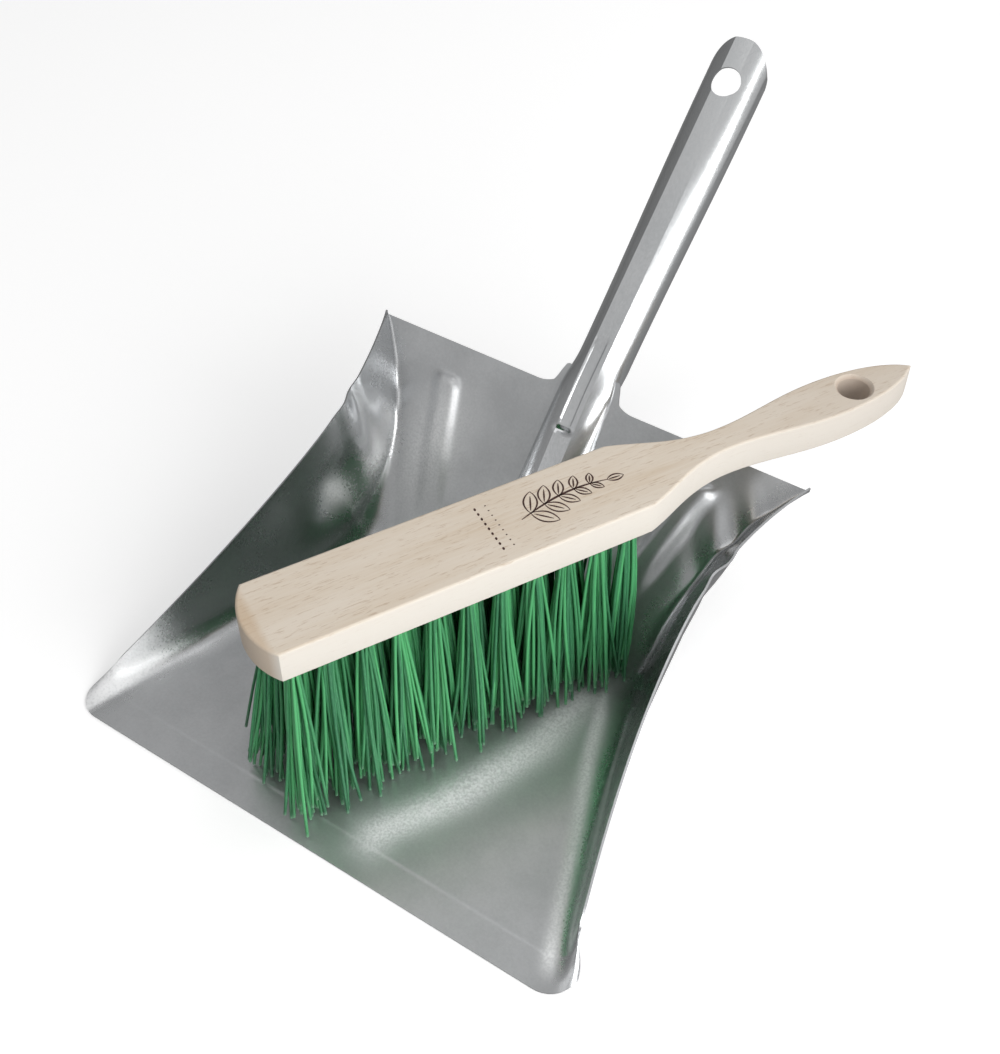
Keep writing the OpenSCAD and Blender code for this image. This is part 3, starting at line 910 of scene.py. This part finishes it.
# %% A material with its coordinates ready
def new_material(name):
    material = bpy.data.materials.new(name)
    material.use_nodes = True
    t = Tree(material.node_tree)
    shader = material.node_tree.nodes["Principled BSDF"]
    place = t.add("ShaderNodeTexCoord", out="Object")
    return material, t, shader, place


def mapped(t, place, turn_by=(0, 0, 0), stretch=(1, 1, 1)):
    return t.add("ShaderNodeMapping", n_Vector=place, n_Rotation=turn_by, n_Scale=stretch)


def relief(t, shader, height, strength, distance):
    bump = t.add("ShaderNodeBump", n_Strength=strength, n_Distance=distance, n_Height=height)
    t.feed(shader.inputs["Normal"], bump)


def grouped(t, group, **values):
    node = t.add("ShaderNodeGroup", out=None, node_tree=group)
    for key, value in values.items():
        t.feed(node.inputs[key.replace("_", " ")], value)
    return node.outputs


print("specks put out", [s.name for s in speck_group.interface.items_tree if s.in_out == "OUTPUT"])

# %% Steel of the scoop and of the handle
def steel(name, turn_by, stretch, dull, bright, smoothest, dullest, strength, worn_floor_and_highlights=False):
    """Zinc-plated steel.

    A worn floor is duller and less metallic than the side walls, and highlights are painted on as
    pale, matt patches.
    """
    material, t, shader, place = new_material(name)
    made = grouped(t, sheet_group, Place=mapped(t, place, turn_by, stretch), Dull_tone=dull,
                   Bright_tone=bright, Smoothest=smoothest, Dullest=dullest)
    shader.inputs["Metallic"].default_value = 1.0
    tone, rough = made["Tone"], made["Roughness"]
    if worn_floor_and_highlights:
        side = t.add("ShaderNodeAttribute", out="Fac", attribute_name="side_wall")
        # Painted highlights: where the scoop's attribute says, the steel turns pale, matt and
        # nearly white, with a fine speckle.
        patch = t.add("ShaderNodeAttribute", out="Fac", attribute_name="painted_highlight")
        speckle = ramp(t, noise(t, place, 1100.0, 2.0), 0.34, 0.64, 0.68, 1.25)
        patch = t.math("MINIMUM", t.math("MULTIPLY", patch, speckle), 1.0)
        metal = t.math("MULTIPLY", ramp(t, side, 0.0, 1.0, 0.80, 0.94),
                       ramp(t, patch, 0.0, 1.0, 1.0, 0.08))
        t.feed(shader.inputs["Metallic"], metal)
        duller = t.math("ADD", ramp(t, side, 0.0, 1.0, 0.10, 0.0), t.math("MULTIPLY", patch, 0.15))
        rough = t.math("ADD", rough, duller)
        tone = blend_colour(t, patch, tone, (0.90, 0.905, 0.91, 1))
    t.feed(shader.inputs["Base Color"], tone)
    t.feed(shader.inputs["Roughness"], rough)
    relief(t, shader, made["Relief"], strength, 0.15 * MM)
    return material


pan_steel = steel("zinc_sheet", (0, 0, 0), (1, 1, 1), (0.52, 0.53, 0.54, 1),
                  (0.60, 0.61, 0.62, 1), 0.19, 0.31, 0.13, worn_floor_and_highlights=True)
grip_steel = steel("drawn_zinc_sheet", (-grip_slope, 0, 0), (1, 0.12, 1), (0.64, 0.655, 0.665, 1),
                   (0.74, 0.75, 0.76, 1), 0.16, 0.26, 0.10)
print("steels", pan_steel.name, grip_steel.name)

# %% Beech
beech, t, shader, place = new_material("raw_beech")
along_brush = mapped(t, place, (0, 0, -turn_angle))
fibre = noise(t, mapped(t, along_brush, stretch=(0.05, 1, 1)), 900.0, 3.0, n_Roughness=0.6)
cloudy = noise(t, mapped(t, along_brush, stretch=(0.18, 1, 1)), 75.0, 2.0)
fleck = grouped(t, speck_group, Place=mapped(t, along_brush, stretch=(0.11, 1, 0.6)),
                Scale=1600.0, Threshold=0.57, Softness=0.10)["Mask"]
colour = blend_colour(t, ramp(t, cloudy, 0.35, 0.65),
                      (0.70, 0.585, 0.455, 1), (0.775, 0.685, 0.575, 1))
colour = blend_colour(t, ramp(t, fibre, 0.35, 0.65, 0.0, 0.5), colour, (0.80, 0.72, 0.62, 1))
normal = t.add("ShaderNodeNewGeometry", out="Normal")
# Painted highlight: faces that don't point up are painted a paler cream than the top, for the
# light from the right front, and their flecks fade.
upward = t.math("ABSOLUTE", t.add("ShaderNodeSeparateXYZ", out=2, i_0=normal))
colour = blend_colour(t, upward, (0.86, 0.81, 0.735, 1), colour)
fleck = t.math("MULTIPLY", fleck, ramp(t, upward, 0.3, 0.9, 0.15, 1.0))
colour = blend_colour(t, t.math("MULTIPLY", fleck, 0.42), colour, (0.42, 0.27, 0.15, 1))
# Darker brown on the hanging hole's wall and chamfer.
hole = on_brush(hole_x, 0, 0) * MM
around_hole = t.vector("MULTIPLY", t.vector("SUBTRACT", place, tuple(hole)), (1, 1, 0))
reach = t.add("ShaderNodeVectorMath", out="Value", operation="LENGTH", i_0=around_hole)
dark_by_hole = ramp(t, reach, (hole_r + 1.5) * MM, (hole_r + 0.2) * MM, 0.0, 0.55)
colour = blend_colour(t, dark_by_hole, colour, (0.37, 0.25, 0.17, 1))
from_front = t.add("ShaderNodeSeparateXYZ", i_0=along_brush)
front_at = float(Matrix.Rotation(-turn_angle, 3, "Z")[0] @ Vector(on_brush(-1.5, 0, 0) * MM))
end_grain = ramp(t, from_front, front_at + 1.6 * MM, front_at - 1.0 * MM, 0.0, 0.55)
colour = blend_colour(t, end_grain, colour, (0.58, 0.42, 0.27, 1))
handled = ramp(t, from_front, front_at + 150 * MM, front_at + 250 * MM, 0.0, 0.30)
colour = blend_colour(t, handled, colour, (0.50, 0.43, 0.37, 1))
t.feed(shader.inputs["Base Color"], colour)
t.feed(shader.inputs["Roughness"], ramp(t, fibre, 0.3, 0.7, 0.68, 0.56))
relief(t, shader, t.math("SUBTRACT", fibre, t.math("MULTIPLY", fleck, 0.7)), 0.25, 0.12 * MM)
print("wood", beech.name)

# %% Green plastic and burnt wood
plastic, t, shader, place = new_material("green_plastic")
shade = t.add("ShaderNodeAttribute", out="Fac", attribute_name="shade")
colour = blend_colour(t, shade, (0.045, 0.205, 0.095, 1), (0.11, 0.49, 0.19, 1))
streak = grouped(t, speck_group, Place=mapped(t, place, stretch=(1, 1, 0.08)), Scale=2600.0,
                 Threshold=0.55, Softness=0.1)["Mask"]
colour = blend_colour(t, t.math("MULTIPLY", streak, 0.35), colour, (0.12, 0.52, 0.22, 1))
end = t.add("ShaderNodeAttribute", out="Fac", attribute_name="along")
colour = blend_colour(t, ramp(t, end, 0.975, 1.0, 0.0, 0.6), colour, (0.42, 0.70, 0.50, 1))
t.feed(shader.inputs["Base Color"], colour)
t.feed(shader.inputs["Roughness"], ramp(t, streak, 0, 1, 0.42, 0.30))

burnt, t, shader, place = new_material("burnt_wood")
ash = grouped(t, speck_group, Place=place, Scale=1400.0, Threshold=0.48, Softness=0.15)["Mask"]
charred = blend_colour(t, ash, (0.045, 0.018, 0.014, 1), (0.11, 0.05, 0.035, 1))
t.feed(shader.inputs["Base Color"], charred)
t.feed(shader.inputs["Roughness"], ramp(t, ash, 0, 1, 0.75, 0.9))
print("plastic", plastic.name, "mark", burnt.name)

# %% Assign the finishes and grow the bristles
for piece, material in ((scoop, pan_steel), (handle, grip_steel), (block, beech), (sprig, burnt)):
    piece.data.materials.clear()
    piece.data.materials.append(material)
bristles = grow_bristles(plastic)

# %% [markdown]
# ## Bodies
# The pan's two pieces stay with the pan, and the brush's pieces move with the brush. The CAD
# nodes that each piece stands for are hidden, so they don't show.

# %% Ride and replace
tuft_nodes = [n for n in sorted(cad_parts) if n.startswith("bristle_tuft")]
for piece, body, slot, nodes in (
        (scoop, "pan", "pan_steel", ["pan_body"]),
        (handle, "pan", "handle_steel", ["pan_handle"]),
        (block, "brush", "block_wood", ["brush_block"]),
        (sprig, "brush", "block_wood", []),
        (bristles, "brush", "bristle", tuft_nodes)):
    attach(piece, body)
    if nodes:
        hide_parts(*nodes)
print("bristles stand for", len(tuft_nodes), "CAD tufts")

# %% [markdown]
# ## The studio
# Steel needs something to mirror: one large soft light at the right front gives the bright
# flanks, a second behind gives the sheen at the pan's sides, and a weak one above fills the rest.
# A plain grey surround gives the greys. It is darker at the back and on the left, and one dim card
# stands at the left front. The floor is pale. It is drawn darker in reflections only, as black
# cards beside a shiny product do in a real studio.

# %% Floor, surround and lights
bpy.context.scene.view_settings.view_transform = "Standard"
far, below = 6, -0.0004
seen_tone, mirrored_tone, floor_glow = (0.97, 0.97, 0.97, 1), (0.28, 0.28, 0.28, 1), 0.27
floor_mesh = bpy.data.meshes.new("floor")
floor_corners = [(-far, -far, below), (far, -far, below), (far, far, below), (-far, far, below)]
floor_mesh.from_pydata(floor_corners, [], [(0, 1, 2, 3)])
floor = bpy.data.objects.new("floor", floor_mesh)
bpy.context.scene.collection.objects.link(floor)
pale, t, shader, place = new_material("pale_floor")
seen = t.add("ShaderNodeLightPath", out="Is Camera Ray")
t.feed(shader.inputs["Base Color"], blend_colour(t, seen, mirrored_tone, seen_tone))
t.feed(shader.inputs["Emission Strength"], t.math("MULTIPLY", seen, floor_glow))
shader.inputs["Emission Color"].default_value = (1, 1, 1, 1)
shader.inputs["Roughness"].default_value = 0.95
floor.data.materials.append(pale)

world = bpy.data.worlds.new("surround")
bpy.context.scene.world = world
world.use_nodes = True
t = Tree(world.node_tree)
looking = t.add("ShaderNodeTexCoord", out="Generated")
way = t.add("ShaderNodeSeparateXYZ", out=None, i_0=looking).outputs
light = t.math("ADD", ramp(t, way[1], -0.8, 0.8, 0.66, 0.46),
               ramp(t, way[0], -0.95, -0.30, -0.33, 0.0))
card = t.math("MULTIPLY", ramp(t, way[0], -0.42, -0.20), ramp(t, way[1], -0.3, -0.6))
light = t.math("MULTIPLY", light, ramp(t, card, 0.0, 1.0, 1.0, 0.6))
background = world.node_tree.nodes["Background"]
t.feed(background.inputs["Strength"], light)
t.feed(background.inputs["Color"], (1, 1, 1, 1))


def softbox(name, place, aim, size, radiance):
    """A rectangular light. Its power follows from how bright its face is."""
    data = bpy.data.lights.new(name, "AREA")
    data.shape, data.size, data.size_y = "RECTANGLE", size[0], size[1]
    data.energy = radiance * math.pi * size[0] * size[1]
    lamp = bpy.data.objects.new(name, data)
    bpy.context.scene.collection.objects.link(lamp)
    look = (Vector(aim) - Vector(place)).to_track_quat("-Z", "Y")
    lamp.matrix_world = Matrix.Translation(place) @ look.to_matrix().to_4x4()
    return lamp


softbox("right_front", (1.16, -0.38, 0.56), (0, 0, 0.05), (1.3, 0.85), 4.2)
softbox("behind", (0.30, 1.35, 1.25), (0, 0, 0), (1.3, 0.6), 1.5)
softbox("above", (0.1, -0.35, 1.7), (0, 0, 0), (1.2, 1.2), 0.45)
